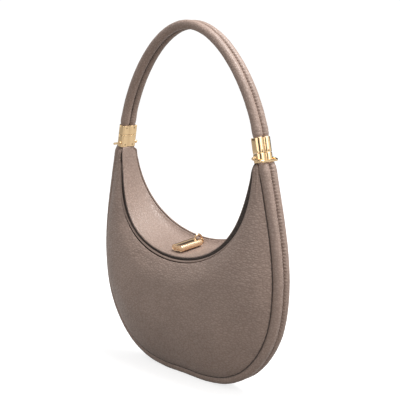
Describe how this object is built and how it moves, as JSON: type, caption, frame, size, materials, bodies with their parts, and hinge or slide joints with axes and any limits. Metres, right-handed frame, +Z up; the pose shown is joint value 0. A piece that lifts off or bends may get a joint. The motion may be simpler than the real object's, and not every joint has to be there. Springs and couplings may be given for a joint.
{
  "type": "hobo bag",
  "caption": "Crescent leather shoulder bag with padded double-roll edges and arched handle, recessed lid, metal clamp ferrules, strap rings and a small padlock-shaped charm.",
  "frame": {"origin": "middle of the base, on the surface the bag stands on", "axes": "+X to the bag's right as seen from the front, -Y out of the front panel, +Z up"},
  "size_m": [0.2972, 0.0846, 0.4286],
  "materials": {
    "body_leather": "pebbled satin",
    "handle_leather": "pebbled satin",
    "lining_fabric": "matte twill",
    "roll_filler": "matte felted filler",
    "board": "matte",
    "hidden_steel": "satin",
    "gold_metal": "polished pale gold"
  },
  "bodies": {
    "bag": {"front_panel": "body_leather", "back_panel": "body_leather", "front_roll": "body_leather", "back_roll": "body_leather", "front_binding": "body_leather", "back_binding": "body_leather", "lid_arm_left": "body_leather", "lid_arm_right": "body_leather", "handle_root_left": "handle_leather", "handle_root_right": "handle_leather", "front_lining": "lining_fabric", "back_lining": "lining_fabric", "gusset_lining": "lining_fabric", "front_roll_core": "roll_filler", "back_roll_core": "roll_filler", "ferrule_tongue_left": "hidden_steel", "ferrule_tongue_right": "hidden_steel", "lower_ferrule_left": "gold_metal", "lower_ferrule_right": "gold_metal", "upper_ferrule_left": "gold_metal", "upper_ferrule_right": "gold_metal", "set_screws_left": "gold_metal", "set_screws_right": "gold_metal", "ring_pins_left": "gold_metal", "ring_pins_right": "gold_metal"},
    "handle": {"handle_front_roll": "handle_leather", "handle_back_roll": "handle_leather", "handle_front_core": "roll_filler", "handle_back_core": "roll_filler", "handle_seam": "handle_leather", "handle_end_left": "handle_leather", "handle_end_right": "handle_leather"},
    "lid": {"lid_leather": "body_leather", "lid_stiffener": "board", "lid_lining": "lining_fabric", "charm_staple": "gold_metal"},
    "charm_shackle": {"charm_shackle": "gold_metal"},
    "charm": {"charm": "gold_metal"},
    "ring_left": {"strap_ring_left": "gold_metal"},
    "ring_right": {"strap_ring_right": "gold_metal"}
  },
  "joints": [
    {"name": "handle_flex", "type": "hinge", "parent": "bag", "child": "handle", "pos_m": [0, 0, 0.314], "axis": [1, 0, 0], "range_deg": [-60, 60], "stiffness_Nm_per_rad": 0.35},
    {"name": "lid_lift", "type": "hinge", "parent": "bag", "child": "lid", "pos_m": [0, 0.0325, 0.1725], "axis": [-1, 0, 0], "range_deg": [0, 50]},
    {"name": "charm_lift", "type": "hinge", "parent": "lid", "child": "charm_shackle", "pos_m": [-0.0055, 0.0262, 0.16307], "axis": [-1, 0, 0], "range_deg": [0, 45]},
    {"name": "charm_swivel", "type": "hinge", "parent": "charm_shackle", "child": "charm", "pos_m": [-0.0055, 0.0138, 0.16137], "axis": [0, 0, 1], "range_deg": [-6, 6]},
    {"name": "ring_left_lift", "type": "hinge", "parent": "bag", "child": "ring_left", "pos_m": [-0.11236, 0, 0.2776], "axis": [0, 1, 0], "range_deg": [0, 45]},
    {"name": "ring_right_lift", "type": "hinge", "parent": "bag", "child": "ring_right", "pos_m": [0.11236, 0, 0.2776], "axis": [0, -1, 0], "range_deg": [0, 45]}
  ]
}
